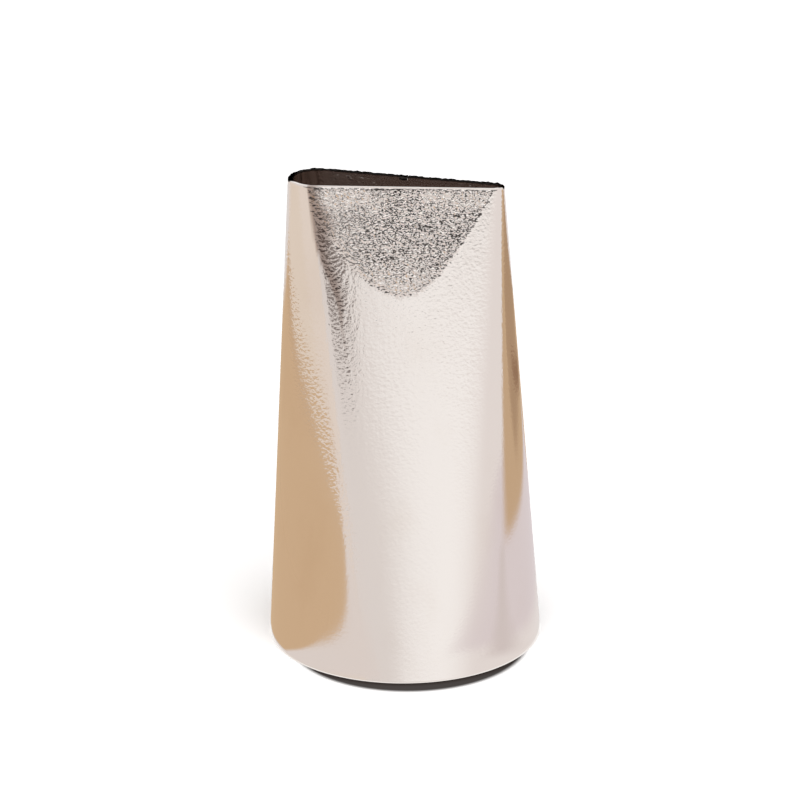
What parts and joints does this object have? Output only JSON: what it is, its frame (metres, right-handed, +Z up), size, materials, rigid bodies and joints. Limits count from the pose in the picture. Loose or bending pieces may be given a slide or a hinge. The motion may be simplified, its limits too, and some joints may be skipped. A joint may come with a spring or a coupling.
{
  "type": "piping nozzle",
  "caption": "Petal piping nozzle: a rolled steel cone with a round open base, its top pressed to a straight teardrop slot that is wide at one end and thin at the other.",
  "frame": {"origin": "centre of the round base, in the plane that the nozzle stands on", "axes": "+Z up the nozzle to the slot, -Y the front, the wide end of the slot towards -X"},
  "size_m": [0.03, 0.03, 0.0526],
  "materials": {
    "sheet_steel": "polished stainless sheet with a fine grain, coarser where it was pressed flat",
    "weld_steel": "dressed weld bead"
  },
  "bodies": {
    "root": {"nozzle_shell": "sheet_steel", "seam_weld": "weld_steel"}
  },
  "joints": []
}
